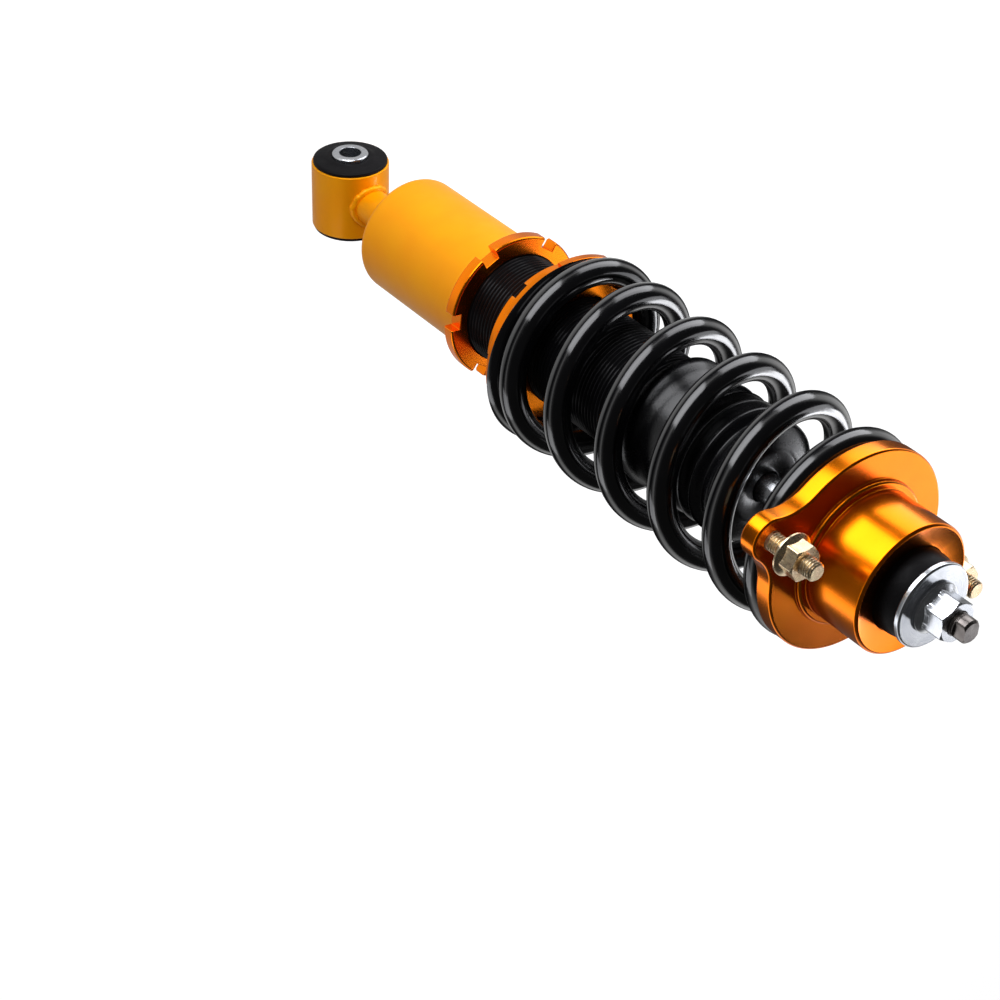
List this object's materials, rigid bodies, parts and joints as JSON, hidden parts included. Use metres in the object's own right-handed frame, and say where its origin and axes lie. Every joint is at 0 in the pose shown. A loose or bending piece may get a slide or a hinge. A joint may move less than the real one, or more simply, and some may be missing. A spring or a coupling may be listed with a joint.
{
  "type": "coilover",
  "caption": "Height-adjustable coilover leg: eye and threaded housing below, coil spring on a screwed seat, damper inside, top mount with studs.",
  "frame": {"origin": "centre of the bore of the lower eye, midway along it", "axes": "+Z along the damper axis from the lower eye to the top mount; +Y along the bore of the lower eye; +X across both"},
  "size_m": [0.1082, 0.088, 0.4221],
  "materials": {
    "gold_paint": "gloss golden-yellow paint over a welded steel part",
    "gold_anodised": "orange-gold anodised turned aluminium",
    "black_body": "satin black finish on a threaded steel tube",
    "spring_black": "gloss black powder coat",
    "bush_rubber": "matte moulded rubber",
    "boot_rubber": "matte black moulded rubber",
    "bump_foam": "closed-cell foam",
    "bright_zinc": "bright zinc plate",
    "yellow_zinc": "yellow zinc plate",
    "plain_steel": "turned steel",
    "sintered_steel": "sintered steel",
    "chrome_rod": "hard chrome, ground and polished",
    "band_plastic": "filled low-friction plastic"
  },
  "bodies": {
    "housing": {"eye_sleeve": "gold_paint", "eye_bush_rubber": "bush_rubber", "eye_weld": "gold_paint", "eye_stem": "gold_paint", "lower_housing": "gold_paint"},
    "bush_tube": {"eye_crush_tube": "bright_zinc"},
    "damper_core": {"inner_tube": "plain_steel", "base_valve": "sintered_steel", "rod_guide": "sintered_steel", "oil_seal": "bush_rubber", "dust_boot": "boot_rubber", "bump_stop": "bump_foam"},
    "damper_body": {"damper_tube": "black_body", "damper_base_cap": "black_body", "gland_nut": "black_body"},
    "housing_ring": {"housing_lock_ring": "gold_anodised"},
    "spring": {"coil_spring": "spring_black"},
    "seat": {"spring_seat": "gold_anodised"},
    "seat_ring": {"seat_lock_ring": "gold_anodised"},
    "piston": {"piston": "sintered_steel", "piston_band": "band_plastic", "valve_shims": "plain_steel"},
    "rod_and_mount": {"piston_rod": "chrome_rod", "piston_nut": "bright_zinc", "rebound_stop": "plain_steel", "top_mount": "gold_anodised", "lower_cup_washer": "plain_steel", "lower_mount_rubber": "bush_rubber", "upper_mount_rubber": "bush_rubber", "mount_spacer": "plain_steel", "top_washer": "bright_zinc", "top_nut": "bright_zinc", "mount_studs": "yellow_zinc", "stud_nuts": "yellow_zinc"}
  },
  "joints": [
    {"name": "bush_twist", "type": "hinge", "parent": "housing", "child": "bush_tube", "pos_m": [0, 0, 0], "axis": [0, 1, 0], "range_deg": [-12, 12], "stiffness_Nm_per_rad": 40},
    {"name": "ride_height", "type": "slide", "parent": "housing", "child": "damper_core", "axis": [0, 0, 1], "range_m": [0, 0.03]},
    {"name": "body_turn", "type": "hinge", "parent": "damper_core", "child": "damper_body", "pos_m": [0, 0, 0], "axis": [0, 0, 1], "range_deg": [0, 5400]},
    {"name": "housing_ring_travel", "type": "slide", "parent": "damper_body", "child": "housing_ring", "axis": [0, 0, 1], "range_m": [0, 0.01]},
    {"name": "seat_travel", "type": "slide", "parent": "damper_body", "child": "spring", "axis": [0, 0, 1], "range_m": [-0.008, 0]},
    {"name": "seat_turn", "type": "hinge", "parent": "spring", "child": "seat", "pos_m": [0, 0, 0.166], "axis": [0, 0, 1], "range_deg": [-1440, 0]},
    {"name": "seat_ring_travel", "type": "slide", "parent": "seat", "child": "seat_ring", "axis": [0, 0, 1], "range_m": [-0.006, 0]},
    {"name": "damper_stroke", "type": "slide", "parent": "damper_core", "child": "piston", "axis": [0, 0, -1], "range_m": [0, 0.05], "stiffness_N_per_m": 78450, "springref_m": -0.003, "deforming": ["coil_spring", "dust_boot", "bump_stop"]},
    {"name": "rod_spin", "type": "hinge", "parent": "piston", "child": "rod_and_mount", "pos_m": [0, 0, 0.3], "axis": [0, 0, 1], "continuous": true}
  ],
  "couplings": [
    {"joint": "ride_height", "follows": "body_turn", "m_per_rad": 0.0003183},
    {"joint": "seat_turn", "follows": "seat_travel", "rad_per_m": 3141.6}
  ]
}
